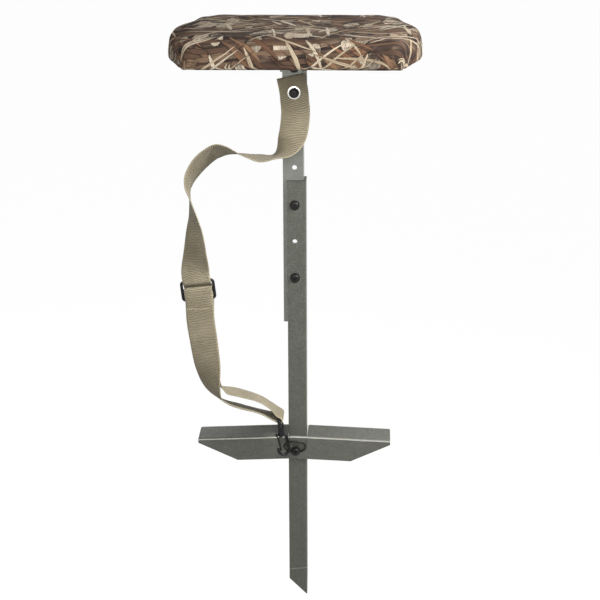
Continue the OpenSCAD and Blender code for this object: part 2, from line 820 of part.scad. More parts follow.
// Slide buckle: a frame of round bar with rounded corners, and a middle bar
module strap_slider() {
    across = rail_x - slider_corner;
    along = slider_pitch - slider_corner;
    color(black)
        translate(slider_at)
            rotate([0, slider_lean, 0]) {
                for (side = [-1, 1])
                    translate([side * rail_x, 0, -along])
                        cylinder(d = slider_bar, h = 2 * along);
                for (end = [-1, 1])
                    translate([-across, 0, end * slider_pitch])
                        rotate([0, 90, 0])
                            cylinder(d = slider_bar, h = 2 * across);
                for (side = [0, 1], end = [0, 1])
                    mirror([side, 0, 0])
                        mirror([0, 0, end])
                            translate([across, 0, along])
                                rotate([90, 0, 0])
                                    rotate_extrude(angle = 90)
                                        translate([slider_corner, 0])
                                            circle(d = slider_bar, $fn = 32);
                translate([-rail_x, 0, 0])
                    rotate([0, 90, 0])
                        cylinder(d = slider_bar, h = 2 * rail_x);
            }
}

// Frames of the hook: its axis through the neck, and its flat side turned about that axis
module on_hook_axis() {
    translate(neck)
        rotate([0, hook_lean, 0])
            children();
}

module on_hook_side() {
    on_hook_axis()
        rotate([0, 0, hook_turn])
            children();
}

// Round bar between two points of the hook's flat side
module side_bar(a, b, d) {
    v = b - a;
    translate([a[0], 0, a[1]])
        rotate([0, atan2(v[0], v[1]), 0])
            cylinder(d = d, h = norm(v));
    translate([b[0], 0, b[1]])
        sphere(d = d * knuckle);
}

module snap_hook() {
    bore = stud_d + 2 * swivel_gap;
    color(black)
        on_hook_side()
            difference() {
                union() {
                    rotate_extrude()
                        polygon(concat([[0, 0]],
                            [[collar_d / 2, 0]],
                            arc([0, -collar_h], collar_d / 2, 0, -90, 8)));
                    for (side = [-1, 1])
                        translate([0, side * (ear_y + ear_t / 2), 0])
                            tongue_ear();
                    side_bar(spine_foot, spine_top, hook_bar);
                    side_bar(spine_top, curve_at + [curve_r, 0], hook_bar);
                    translate([curve_at[0], 0, curve_at[1]])
                        rotate([90, 0, 0])
                            rotate([0, 0, -hook_wrap])
                                rotate_extrude(angle = hook_wrap)
                                    translate([curve_r, 0])
                                        circle(d = hook_bar, $fn = 32);
                    translate([hook_tip[0], 0, hook_tip[1]])
                        sphere(d = hook_bar * knuckle);
                }
                translate([tongue_top[0], 0, tongue_top[1]])
                    rotate([90, 0, 0])
                        cylinder(d = pin_d + pin_gap / 2, h = collar_d, center = true);
                translate([0, 0, floor_z])
                    cylinder(d = bore, h = collar_h);
                translate([0, 0, floor_z])
                    cylinder(d = bore + stud_head, h = stud_head + 2 * swivel_gap);
            }
}

// Ear beside the tongue's eye that holds its pin
module tongue_ear() {
    translate([tongue_top[0] - tongue_eye / 2, -ear_t / 2, tongue_top[1] - tongue_eye / 2])
        cube([tongue_eye / 2 - tongue_top[0], ear_t, tongue_eye]);
}

module tongue_pin() {
    color(nickel)
        on_hook_side()
            translate([tongue_top[0], 0, tongue_top[1]])
                rotate([90, 0, 0])
                    cylinder(d = pin_d, h = 2 * (ear_y + ear_t), center = true);
}

// Sprung tongue that closes the hook's mouth: an eye on the pin and a flat leaf
module hook_tongue() {
    v = tongue_low - tongue_top;
    color(black)
        on_hook_side()
            translate([tongue_top[0], 0, tongue_top[1]])
                rotate([0, atan2(v[0], v[1]) - 180, 0])
                    difference() {
                        union() {
                            translate([-tongue_t / 2, -tongue_w / 2, -norm(v)])
                                cube([tongue_t, tongue_w, norm(v)]);
                            rotate([90, 0, 0])
                                cylinder(d = tongue_eye, h = tongue_w, center = true);
                        }
                        rotate([90, 0, 0])
                            cylinder(d = pin_d + 2 * pin_gap, h = tongue_w + 1, center = true);
                    }
}

// Leg of the swivel loop: a round bar between two points of the loop's own plane
module loop_leg(a, b) {
    v = b - a;
    translate([0, a[0], a[1]])
        rotate([-atan2(v[0], v[1]), 0, 0])
            cylinder(d = loop_bar, h = norm(v));
}

// Loop of the swivel: a long bar for the webbing on two legs that meet at the stud
module swivel_loop() {
    half = strap_w / 2 + slider_play + loop_bar / 2;
    bend_z = loop_h - bar_turn - 2 * strap_t;
    head_z = floor_z + swivel_gap;
    color(black)
        on_hook_axis() {
            loop_leg([-half, loop_h], [half, loop_h]);
            for (side = [-1, 1]) {
                loop_leg([side * half, loop_h], [side * half, bend_z]);
                loop_leg([side * half, bend_z], [side * stud_d / 2, boss_h]);
                for (z = [loop_h, bend_z])
                    translate([0, side * half, z])
                        sphere(d = loop_bar * knuckle);
            }
            translate([0, 0, swivel_gap])
                cylinder(d = collar_d, h = boss_h + loop_bar / 2);
            translate([0, 0, head_z])
                cylinder(d = stud_d, h = boss_h - head_z);
            translate([0, 0, head_z])
                cylinder(d = stud_d + stud_head, h = stud_head);
        }
}

lower_post();
foot_plate();
foot_bolt();
foot_nut();
carry_ring();
height_bolts();
height_nuts();
upper_post();
stop_plate();
seat_cleat();
seat_plate();
seat_bolt();
seat_nut();
seat_board();
insert_nuts();
seat_screws();
seat_foam();
seat_cover();
strap_grommet();
strap_bolt();
strap_nut();
shoulder_strap();
strap_return();
strap_loop();
strap_slider();
snap_hook();
tongue_pin();
hook_tongue();
swivel_loop();
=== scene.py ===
# Stake seat: a padded seat on two nested steel angles, pushed into soft ground and carried on a strap.
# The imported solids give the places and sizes, in metres: X to the right, Y to the rear, Z up.
import math

import bmesh
import bpy
from mathutils import Matrix, Vector


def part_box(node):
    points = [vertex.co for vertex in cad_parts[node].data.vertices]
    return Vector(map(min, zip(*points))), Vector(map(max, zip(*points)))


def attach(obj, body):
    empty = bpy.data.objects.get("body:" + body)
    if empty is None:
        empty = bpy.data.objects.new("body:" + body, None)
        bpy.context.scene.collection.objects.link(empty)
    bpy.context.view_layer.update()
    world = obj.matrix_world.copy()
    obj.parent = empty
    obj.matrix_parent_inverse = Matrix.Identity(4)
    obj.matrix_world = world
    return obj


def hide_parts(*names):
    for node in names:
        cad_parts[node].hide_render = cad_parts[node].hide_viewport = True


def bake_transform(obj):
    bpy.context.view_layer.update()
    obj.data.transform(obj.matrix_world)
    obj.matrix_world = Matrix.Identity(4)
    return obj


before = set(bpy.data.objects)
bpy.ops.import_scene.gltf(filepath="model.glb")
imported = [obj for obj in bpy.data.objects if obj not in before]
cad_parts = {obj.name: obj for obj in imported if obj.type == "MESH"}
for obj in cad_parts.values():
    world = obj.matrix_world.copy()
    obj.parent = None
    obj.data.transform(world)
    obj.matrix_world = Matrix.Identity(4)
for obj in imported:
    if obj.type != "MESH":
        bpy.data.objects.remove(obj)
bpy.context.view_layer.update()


# Posts, foot plate and seat bracket: mild steel angle and plate, sawn, drilled and bent cold.
# A grey-olive powder coat is baked on and sets to a fine hammered grain with paler flecks.
# It is drawn in three tones: lighter on the upper post and bracket as painted light, darker on the
# lower post as painted shade. A pale line along the foot plate's bend is a painted highlight, a dark
# line under the lower post's top is a painted shadow, and towards the stake's point the coat is
# scratched and darkened by painted shade.
def srgb(red, green, blue):
    def linear(value):
        part = value / 255
        return part / 12.92 if part <= 0.04045 else ((part + 0.055) / 1.055) ** 2.4
    return linear(red), linear(green), linear(blue), 1.0


def finish(name, roughness, metallic=0.0):
    material = bpy.data.materials.new(name)
    material.use_nodes = True
    shader = material.node_tree.nodes["Principled BSDF"]
    shader.inputs["Roughness"].default_value = roughness
    shader.inputs["Metallic"].default_value = metallic
    return material, material.node_tree, shader


def place(tree, kind, sockets, **settings):
    made = tree.nodes.new(kind)
    for name, value in settings.items():
        setattr(made, name, value)
    for name, value in sockets.items():
        if isinstance(value, bpy.types.NodeSocket):
            tree.links.new(value, made.inputs[name])
        else:
            made.inputs[name].default_value = value
    return made


def sums(tree, operation, first, second=0.0):
    return place(tree, "ShaderNodeMath", {0: first, 1: second}, operation=operation).outputs[0]


def ramp(tree, factor, stops, interpolation="LINEAR"):
    made = place(tree, "ShaderNodeValToRGB", {"Fac": factor})
    made.color_ramp.interpolation = interpolation
    elements = made.color_ramp.elements
    while len(elements) < len(stops):
        elements.new(1.0)
    for element, (position, colour) in zip(elements, stops):
        element.position = position
        element.color = colour
    return made.outputs["Color"]


def over(tree, factor, lower, upper, blend_type="MIX"):
    made = place(tree, "ShaderNodeMix", {0: factor, 6: lower, 7: upper}, data_type="RGBA",
                 blend_type=blend_type)
    return made.outputs[2]


def raise_grain(tree, shader, height, distance, strength):
    bump = place(tree, "ShaderNodeBump", {"Height": height, "Distance": distance,
                                          "Strength": strength})
    tree.links.new(bump.outputs["Normal"], shader.inputs["Normal"])


def dress(material, *nodes):
    for node in nodes:
        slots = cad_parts[node].data.materials
        slots.clear()
        slots.append(material)


def spray_coat(name, low, high):
    coated, tree, shader = finish(name, roughness=0.26, metallic=0.45)
    spot = place(tree, "ShaderNodeTexCoord", {}).outputs["Object"]
    level = place(tree, "ShaderNodeSeparateXYZ", {"Vector": spot}).outputs["Z"]
    clouds = place(tree, "ShaderNodeTexNoise", {"Vector": spot, "Scale": 60.0, "Detail": 5.0}).outputs["Fac"]
    grain = place(tree, "ShaderNodeTexNoise", {"Vector": spot, "Scale": 900.0, "Detail": 2.0}).outputs["Fac"]
    cells = place(tree, "ShaderNodeTexVoronoi", {"Vector": spot, "Scale": 640.0}).outputs["Distance"]
    flecks = place(tree, "ShaderNodeMapRange", {"Value": cells, "From Min": 0.10, "From Max": 0.30,
                                                "To Min": 0.65, "To Max": 0.0}).outputs["Result"]
    coat = ramp(tree, clouds, [(0.3, low), (0.7, high)])
    coat = over(tree, sums(tree, "MULTIPLY", grain, 0.35), coat, srgb(76, 76, 69))
    coat = over(tree, flecks, coat, srgb(150, 151, 145))
    # Darker towards the stake's point: painted shade standing in for light falling off downwards, mottled by
    # the clouds.
    painted_low_shade = place(tree, "ShaderNodeMapRange", {"Value": level, "From Min": 0.10, "From Max": -0.20,
                                              "To Max": 0.32}).outputs["Result"]
    coat = over(tree, sums(tree, "MULTIPLY", painted_low_shade, sums(tree, "ADD", clouds, 0.5)), coat, srgb(56, 56, 50))
    raise_grain(tree, shader, sums(tree, "ADD", grain, cells), distance=0.0004, strength=0.35)
    tree.links.new(coat, shader.inputs["Base Color"])
    return coated, tree, shader, level, coat


hammered_coat, tree, shader, level, coat = spray_coat("hammered_coat", srgb(88, 89, 81), srgb(98, 99, 91))
bend_r = 0.0032
wing_fall = math.radians(2.5)
foot_low, foot_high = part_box("foot_plate")
bend_corner = foot_high.z - foot_low.y
spot = place(tree, "ShaderNodeTexCoord", {}).outputs["Object"]
parts = place(tree, "ShaderNodeSeparateXYZ", {"Vector": spot}).outputs
from_middle = sums(tree, "ABSOLUTE", sums(tree, "SUBTRACT", parts["X"], (foot_low.x + foot_high.x) / 2))
unfallen = sums(tree, "ADD", level, sums(tree, "MULTIPLY", from_middle, math.tan(wing_fall)))
to_bend = sums(tree, "SUBTRACT", unfallen, parts["Y"])
# Pale line along the foot plate's bend: a painted highlight where the bent edge catches the lamps.
painted_bend_highlight = place(tree, "ShaderNodeMapRange", {"Value": to_bend, "From Min": bend_corner - bend_r * 0.78,
                                             "From Max": bend_corner - bend_r * 0.58,
                                             "To Max": 0.52}).outputs["Result"]
tree.links.new(over(tree, painted_bend_highlight, coat, srgb(184, 182, 174)), shader.inputs["Base Color"])
dress(hammered_coat, "foot_plate")
# Lighter copy of the same coat on the upper post, bracket and welds: painted light, as the top of the stand
# is lit more brightly.
painted_light_coat, tree, shader, level, coat = spray_coat("painted_light_coat", srgb(112, 113, 106), srgb(124, 125, 118))
dress(painted_light_coat, "upper_post", "stop_plate", "seat_cleat", "seat_plate")
# Darker copy of the same coat on the lower post: painted shade, as the lower stand gets less light. Its
# scratch near the point is real wear.
shaded_scratched_coat, tree, shader, level, coat = spray_coat("shaded_scratched_coat", srgb(80, 81, 73), srgb(90, 91, 83))
sawn_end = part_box("lower_post")[1].z
# Dark line just under the lower post's sawn top: a painted shadow of the gap where the upper post slides in.
painted_rim_shadow = place(tree, "ShaderNodeMapRange", {"Value": level, "From Min": sawn_end - 0.0016,
                                         "From Max": sawn_end - 0.0004, "To Max": 0.85}).outputs["Result"]
coat = over(tree, painted_rim_shadow, coat, srgb(44, 44, 40))
spot = place(tree, "ShaderNodeTexCoord", {}).outputs["Object"]
beside = place(tree, "ShaderNodeVectorMath", {0: spot, 1: (-0.11, 0, 1)},
               operation="DOT_PRODUCT").outputs["Value"]
beside = sums(tree, "ABSOLUTE", sums(tree, "ADD", beside, 0.2013))
scratch = place(tree, "ShaderNodeMapRange", {"Value": beside, "From Min": 0.0008, "From Max": 0.0001,
                                             "To Max": 0.6}).outputs["Result"]
tree.links.new(over(tree, scratch, coat, srgb(150, 150, 142)), shader.inputs["Base Color"])
dress(shaded_scratched_coat, "lower_post")


# Welds: the bracket is welded under the seat plate and the strip to the side of the upper post.
# Each bead is a row of overlapping drops of steel, coated with the rest.
weld_r = 0.0021
weld_step = 0.0019


def lay_weld(beads, start, end):
    count = int((end - start).length / weld_step)
    for number in range(count + 1):
        drop = Matrix.Translation(start.lerp(end, number / count))
        bmesh.ops.create_icosphere(beads, subdivisions=2, radius=weld_r, matrix=drop)


def as_piece(name, mesh_edit, material):
    mesh = bpy.data.meshes.new(name)
    mesh_edit.to_mesh(mesh)
    mesh_edit.free()
    mesh.materials.append(material)
    for face in mesh.polygons:
        face.use_smooth = True
    piece = bpy.data.objects.new(name, mesh)
    bpy.context.scene.collection.objects.link(piece)
    return piece


cleat_low, cleat_high = (Vector(corner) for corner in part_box("seat_cleat"))
stop_low, stop_high = (Vector(corner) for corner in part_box("stop_plate"))
beads = bmesh.new()
for side_x in (cleat_low.x, cleat_high.x):
    lay_weld(beads, Vector((side_x, cleat_low.y + 0.006, cleat_high.z)),
             Vector((side_x, cleat_high.y - 0.002, cleat_high.z)))
lay_weld(beads, Vector((stop_low.x, stop_high.y, stop_low.z + 0.004)),
         Vector((stop_low.x, stop_high.y, stop_high.z - 0.004)))
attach(as_piece("weld_beads", beads, painted_light_coat), "upper")


# Bolts, nuts, screws and the carrying ring: turned and drawn steel with a black oxide finish,
# oiled, so it is nearly black with a satin sheen and a few brown-grey rubbed patches.
black_oxide, tree, shader = finish("black_oxide", roughness=0.42, metallic=0.2)
shader.inputs["Specular IOR Level"].default_value = 0.35
spot = place(tree, "ShaderNodeTexCoord", {}).outputs["Object"]
rubbed = place(tree, "ShaderNodeTexNoise", {"Vector": spot, "Scale": 260.0, "Detail": 4.0}).outputs["Fac"]
tree.links.new(ramp(tree, rubbed, [(0.45, srgb(13, 12, 12)), (0.75, srgb(36, 33, 30))]),
               shader.inputs["Base Color"])
raise_grain(tree, shader, rubbed, distance=0.0002, strength=0.2)
dress(black_oxide, "foot_bolt", "foot_nut", "height_bolts", "height_nuts", "seat_bolt", "seat_nut",
      "seat_screws", "strap_bolt", "strap_nut", "carry_ring")


# Slide buckle and swivel snap hook: black nylon-coated die castings, smooth and a little glossy,
# with a faint orange-peel skin. The hook's tongue turns on a plated pin.
black_enamel, tree, shader = finish("black_enamel", roughness=0.42)
shader.inputs["Specular IOR Level"].default_value = 0.3
spot = place(tree, "ShaderNodeTexCoord", {}).outputs["Object"]
peel = place(tree, "ShaderNodeTexNoise", {"Vector": spot, "Scale": 480.0, "Detail": 2.0}).outputs["Fac"]
tree.links.new(ramp(tree, peel, [(0.35, srgb(7, 7, 7)), (0.75, srgb(18, 18, 18))]),
               shader.inputs["Base Color"])
raise_grain(tree, shader, peel, distance=0.0003, strength=0.15)
dress(black_enamel, "strap_slider", "snap_hook", "hook_tongue", "swivel_loop")


# Grommet, tongue pin and threaded inserts: brass pressings and turned steel, nickel plated.
# The plate is bright, with fine handling marks that break up its shine.
nickel_plate, tree, shader = finish("nickel_plate", roughness=0.24, metallic=1.0)
spot = place(tree, "ShaderNodeTexCoord", {}).outputs["Object"]
marks = place(tree, "ShaderNodeTexNoise", {"Vector": spot, "Scale": 700.0, "Detail": 3.0}).outputs["Fac"]
tree.links.new(ramp(tree, marks, [(0.3, srgb(205, 204, 199)), (0.7, srgb(232, 231, 227))]),
               shader.inputs["Base Color"])
raise_grain(tree, shader, marks, distance=0.0001, strength=0.15)
dress(nickel_plate, "strap_grommet", "tongue_pin", "insert_nuts")


# Seat board: a panel of birch plywood, cut with the pad's eight sides, that carries the padding.
# It is left bare, so its pale grain shows inside the hem when the seat is turned over.
plywood, tree, shader = finish("birch_plywood", roughness=0.7)
spot = place(tree, "ShaderNodeTexCoord", {}).outputs["Object"]
along_grain = place(tree, "ShaderNodeMapping", {"Vector": spot, "Scale": (9.0, 150.0, 600.0)}).outputs[0]
grain = place(tree, "ShaderNodeTexNoise", {"Vector": along_grain, "Scale": 1.0, "Detail": 4.0}).outputs["Fac"]
tree.links.new(ramp(tree, grain, [(0.3, srgb(188, 157, 114)), (0.7, srgb(219, 193, 150))]),
               shader.inputs["Base Color"])
raise_grain(tree, shader, grain, distance=0.0002, strength=0.3)
dress(plywood, "seat_board")


# Seat pad: foam on the board under one printed cloth that is drawn over the edge and stapled below.
# The cloth is tight over the rounded rim, pulls in along the sides and is tucked into pleats at the
# corners. It is a woven polyester, printed with dry reeds, leaves and straws over a dark ground.
pad_centre = Vector((0.002, 0.0125))
pad_half = Vector((0.166, 0.120))
pad_height = 0.037
front_cut = 0.026
rear_cut = 0.030
side_run = 0.049
side_front = 0.0095
corner_reach = 0.019
front_reach = 0.013
rear_reach = 0.026
corner_steps = 8
side_draw = 0.002
rim_round = 0.011
swell_room = 0.0004
swell_limit = 0.004
pad_voxel = 0.004
held_height = 0.0125
pleat_depth = 0.0032
pleat_width = 0.0032
pleat_slant = 0.45
pleat_apart = 0.013
hem_start = 0.004
hem_width = 0.024
cloth_thickness = 0.0015
pad_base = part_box("seat_cover")[0].z


def pad_corners(inset):
    wide, deep = pad_half.x - inset, pad_half.y - inset
    front, rear = -side_front - side_run / 2, side_run / 2 - side_front
    return [pad_centre + Vector(corner) for corner in (
        (front_cut - wide, -deep), (wide - front_cut, -deep), (wide, front), (wide, rear),
        (wide - rear_cut, deep), (rear_cut - wide, deep), (-wide, rear), (-wide, front))]


def pad_outline(inset):
    corners = pad_corners(inset)
    made = []
    for number, corner in enumerate(corners):
        after = corners[(number + 1) % len(corners)]
        reach = {0: front_reach, 1: front_reach, 4: rear_reach, 5: rear_reach}.get(number, corner_reach)
        enter = corner + (corners[number - 1] - corner).normalized() * reach
        leave = corner + (after - corner).normalized() * reach
        for step in range(corner_steps + 1):
            t = step / corner_steps
            made.append(enter * (1 - t) ** 2 + corner * 2 * t * (1 - t) + leave * t * t)
        side = after - corner
        pull = side_draw * side.length / (2 * pad_half.x)
        made.append((corner + after) / 2 + Vector((-side.y, side.x)).normalized() * pull)
    return made


def baked(piece):
    bpy.context.view_layer.update()
    made = bpy.data.meshes.new_from_object(piece.evaluated_get(bpy.context.evaluated_depsgraph_get()))
    piece.modifiers.clear()
    piece.data = made
    return piece


camo_cloth, tree, shader = finish("reed_print", roughness=0.85)
shader.inputs["Specular IOR Level"].default_value = 0.2

blank = bmesh.new()
blank.faces.new([blank.verts.new((point.x, point.y, pad_base)) for point in pad_outline(swell_room)])
grown = bmesh.ops.extrude_face_region(blank, geom=blank.faces[:])["geom"]
raised = [part for part in grown if isinstance(part, bmesh.types.BMVert)]
bmesh.ops.translate(blank, vec=(0, 0, pad_height - swell_room), verts=raised)
rim_edges = [edge for edge in blank.edges if all(vertex in raised for vertex in edge.verts)]
bmesh.ops.bevel(blank, geom=rim_edges, offset=rim_round, offset_type="OFFSET", affect="EDGES",
                segments=6, profile=0.5, material=-1)
bmesh.ops.recalc_face_normals(blank, faces=blank.faces)
seat_pad = as_piece("seat_pad", blank, camo_cloth)
even = seat_pad.modifiers.new("even_mesh", "REMESH")
even.mode = "VOXEL"
even.voxel_size = pad_voxel
baked(seat_pad)

start = [vertex.co.copy() for vertex in seat_pad.data.vertices]
held = seat_pad.vertex_groups.new(name="held")
held.add([number for number, spot in enumerate(start) if spot.z < pad_base + held_height], 1.0, "REPLACE")
stuffing = seat_pad.modifiers.new("stuffing", "CLOTH")
stuffing.settings.use_pressure = True
stuffing.settings.uniform_pressure_force = 4.0
stuffing.settings.effector_weights.gravity = 0.0
stuffing.settings.vertex_group_mass = "held"
for number in range(1, 21):
    bpy.context.scene.frame_set(number)
baked(seat_pad)
bpy.context.scene.frame_set(1)
for vertex, spot in zip(seat_pad.data.vertices, start):
    move = vertex.co - spot
    vertex.co = spot + move * (swell_limit / (swell_limit + move.length))

cover = bmesh.new()
cover.from_mesh(seat_pad.data)
bmesh.ops.bisect_plane(cover, geom=cover.verts[:] + cover.edges[:] + cover.faces[:], dist=1e-6,
                       plane_co=(0, 0, pad_base + hem_start), plane_no=(0, 0, -1), clear_outer=True)
corners = pad_corners(0)
for number in (0, 1, 4, 5):
    corner = corners[number]
    inwards = ((corners[number - 1] - corner).normalized()
               + (corners[(number + 1) % len(corners)] - corner).normalized()).normalized()
    along_rim = Vector((-inwards.y, inwards.x))
    for vertex in cover.verts:
        away = vertex.co.xy - corner
        height = (vertex.co.z - pad_base) / pad_height
        if away.length > 2 * corner_reach or height > 1:
            continue
        fade = (1 - height * height) * (1 - (away.length / (2 * corner_reach)) ** 2)
        for start, way in ((-pleat_apart / 2, 1), (pleat_apart / 2, -1)):
            beside = (away.dot(along_rim) - start) * way + pleat_slant * height * pad_height
            fold = math.exp(-(beside / pleat_width) ** 2) - 0.4 * math.exp(-(beside / pleat_width - 2) ** 2)
            shift = inwards * pleat_depth * fold * fade
            vertex.co.x += shift.x
            vertex.co.y += shift.y
inward = cover.verts.layers.float_vector.new("inward")
edge_spot = cover.verts.layers.float_vector.new("edge_spot")
turned_in = cover.verts.layers.float.new("turned_in")
edges = [edge for edge in cover.edges if edge.is_boundary]
middle = Vector((pad_centre.x, pad_centre.y, 0))
for vertex in {vertex for edge in edges for vertex in edge.verts}:
    a, b = (edge.other_vert(vertex).co for edge in vertex.link_edges if edge.is_boundary)
    square = Vector((a.y - b.y, b.x - a.x, 0)).normalized()
    to_middle = middle - vertex.co
    to_middle.z = 0
    if square.dot(to_middle) < 0:
        square.negate()
    vertex[inward] = (square * 0.6 + to_middle.normalized() * 0.4).normalized()
    vertex[edge_spot] = vertex.co
for inset, rise in ((0.0006, 0.0014), (0.0040, 0.0002), (hem_width / 2, 0.0), (hem_width, 0.0),
                    (hem_width, cloth_thickness)):
    grown = bmesh.ops.extrude_edge_only(cover, edges=edges)["geom"]
    fresh = {part for part in grown if isinstance(part, bmesh.types.BMVert)}
    edges = [part for part in grown if isinstance(part, bmesh.types.BMEdge) and set(part.verts) <= fresh]
    for vertex in fresh:
        vertex.co = vertex[edge_spot] + vertex[inward] * inset
        vertex.co.z = pad_base + rise
        vertex[turned_in] = inset + hem_start
bmesh.ops.recalc_face_normals(cover, faces=cover.faces)
cover.normal_update()
flat_print = cover.loops.layers.uv.new("cloth")
rim_z = pad_base + pad_height
for face in cover.faces:
    for loop in face.loops:
        vertex = loop.vert
        out = -vertex[inward] if vertex[turned_in] > 0 else vertex.normal.copy()
        out.z = 0
        drop = max(0.0, rim_z - vertex.co.z) + 2 * vertex[turned_in]
        loop[flat_print].uv = (vertex.co + out.normalized() * drop).xy if out.length > 0.05 else vertex.co.xy
cover.to_mesh(seat_pad.data)
cover.free()
for face in seat_pad.data.polygons:
    face.use_smooth = True
rounding = seat_pad.modifiers.new("rounding", "SUBSURF")
rounding.levels = 1
rounding.render_levels = 1
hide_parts("seat_cover", "seat_foam")
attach(seat_pad, "upper")

lay = place(tree, "ShaderNodeUVMap", {}, uv_map="cloth").outputs["UV"]
bends = place(tree, "ShaderNodeTexNoise", {"Vector": lay, "Scale": 9.0, "Detail": 0.0},
              noise_dimensions="2D").outputs["Color"]
sway = place(tree, "ShaderNodeVectorMath", {0: bends, 1: (0.5, 0.5, 0.5)}, operation="SUBTRACT").outputs[0]
sway = place(tree, "ShaderNodeVectorMath", {0: sway, "Scale": 0.03}, operation="SCALE").outputs[0]
swayed = place(tree, "ShaderNodeVectorMath", {0: lay, 1: sway}, operation="ADD").outputs[0]


def lay_leaves(ground, angle, length, width, share, tones, shift):
    turned = place(tree, "ShaderNodeMapping", {"Vector": swayed, "Rotation": (0, 0, math.radians(angle)),
                                               "Scale": (length, width, 1.0), "Location": shift},
                   vector_type="TEXTURE").outputs[0]
    cells = place(tree, "ShaderNodeTexVoronoi", {"Vector": turned, "Scale": 1.0}, voronoi_dimensions="2D")
    picks = place(tree, "ShaderNodeSeparateColor", {"Color": cells.outputs["Color"]}).outputs
    chosen = sums(tree, "LESS_THAN", picks["Red"], share)
    away = cells.outputs["Distance"]
    grown_along = place(tree, "ShaderNodeMapping", {"Vector": turned, "Scale": (2.5, 13.0, 1.0)}).outputs[0]
    fibre = place(tree, "ShaderNodeTexNoise", {"Vector": grown_along, "Scale": 1.0, "Detail": 4.0}).outputs[0]
    worn = sums(tree, "ADD", away, sums(tree, "MULTIPLY", sums(tree, "SUBTRACT", fibre, 0.5), 0.18))
    blade = place(tree, "ShaderNodeMapRange", {"Value": worn, "From Min": 0.43, "From Max": 0.40}).outputs[0]
    shade = place(tree, "ShaderNodeMapRange", {"Value": away, "From Min": 0.62, "From Max": 0.40}).outputs[0]
    dim = place(tree, "ShaderNodeMapRange", {"Value": fibre, "From Min": 0.40, "From Max": 0.66,
                                             "To Max": 0.75}).outputs[0]
    tone = over(tree, dim, ramp(tree, picks["Green"], tones), srgb(62, 48, 40))
    ground = over(tree, sums(tree, "MULTIPLY", sums(tree, "MULTIPLY", shade, chosen), 0.8), ground,
                  srgb(24, 18, 16))
    return over(tree, sums(tree, "MULTIPLY", blade, chosen), ground, tone)


drawn_out = place(tree, "ShaderNodeMapping", {"Vector": swayed, "Scale": (22.0, 90.0, 1.0)}).outputs[0]
murk = place(tree, "ShaderNodeTexNoise", {"Vector": drawn_out, "Scale": 1.0, "Detail": 6.0}).outputs["Fac"]
reeds = ramp(tree, murk, [(0.30, srgb(24, 18, 16)), (0.47, srgb(58, 46, 39)), (0.62, srgb(100, 82, 68)),
                          (0.74, srgb(74, 70, 56))])
brown = [(0.0, srgb(70, 52, 42)), (0.5, srgb(106, 82, 62)), (1.0, srgb(126, 106, 86))]
gloom = [(0.0, srgb(26, 20, 18)), (0.5, srgb(44, 35, 30)), (1.0, srgb(66, 54, 46))]
rust = [(0.0, srgb(124, 88, 62)), (0.5, srgb(86, 62, 48)), (1.0, srgb(146, 114, 84))]
pale = [(0.0, srgb(150, 132, 110)), (0.5, srgb(202, 188, 166)), (1.0, srgb(128, 119, 104))]
straw = [(0.0, srgb(216, 203, 178)), (0.6, srgb(172, 154, 126)), (1.0, srgb(232, 223, 203))]
reeds = lay_leaves(reeds, 18, 0.085, 0.020, 0.50, brown, (0.31, 0.12, 0))
reeds = lay_leaves(reeds, -48, 0.070, 0.017, 0.36, rust, (0.07, 0.43, 0))
reeds = lay_leaves(reeds, 74, 0.048, 0.021, 0.38, pale, (0.57, 0.21, 0))
reeds = lay_leaves(reeds, 52, 0.052, 0.017, 0.26, gloom, (0.77, 0.15, 0))
reeds = lay_leaves(reeds, 6, 0.110, 0.009, 0.45, brown, (0.23, 0.71, 0))
reeds = lay_leaves(reeds, 128, 0.075, 0.008, 0.28, rust, (0.47, 0.09, 0))
reeds = lay_leaves(reeds, -14, 0.100, 0.0048, 0.08, straw, (0.83, 0.37, 0))
reeds = lay_leaves(reeds, 104, 0.070, 0.0062, 0.08, straw, (0.41, 0.77, 0))
reeds = lay_leaves(reeds, 36, 0.120, 0.0036, 0.07, straw, (0.67, 0.83, 0))
reeds = lay_leaves(reeds, 63, 0.085, 0.0046, 0.07, straw, (0.13, 0.29, 0))
reeds = lay_leaves(reeds, 150, 0.080, 0.0052, 0.08, straw, (0.91, 0.53, 0))
speckle = place(tree, "ShaderNodeTexNoise", {"Vector": lay, "Scale": 700.0, "Detail": 2.0}).outputs["Fac"]
dusty = place(tree, "ShaderNodeMapRange", {"Value": speckle, "From Min": 0.45, "From Max": 0.75,
                                           "To Max": 0.5}).outputs[0]
tree.links.new(over(tree, dusty, reeds, srgb(56, 44, 38)), shader.inputs["Base Color"])
yarns = [place(tree, "ShaderNodeTexWave", {"Vector": lay, "Scale": 400.0}, bands_direction=way).outputs["Fac"]
         for way in "XY"]
raise_grain(tree, shader, sums(tree, "MULTIPLY", *yarns), distance=0.0003, strength=0.25)


# Hem staples: short wire staples, shot through the turned-in cloth into the board all round.
# They are flattened zinc-coated wire, and only their crowns show.
staple_line = 0.015
staple_gap = 0.030
staple_size = Vector((0.0105, 0.0012, 0.0008))
wires = bmesh.new()
line = pad_outline(staple_line)
since = 0.0
for a, b in zip(line, line[1:] + line[:1]):
    side = b - a
    since += side.length
    while since > staple_gap:
        since -= staple_gap
        spot = b - side.normalized() * since
        turn_z = Matrix.Rotation(math.atan2(side.y, side.x), 4, "Z")
        bmesh.ops.create_cube(wires, size=1.0, matrix=Matrix.Translation((spot.x, spot.y, pad_base))
                              @ turn_z @ Matrix.Diagonal((*staple_size, 1.0)))
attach(as_piece("hem_staples", wires, nickel_plate), "upper")


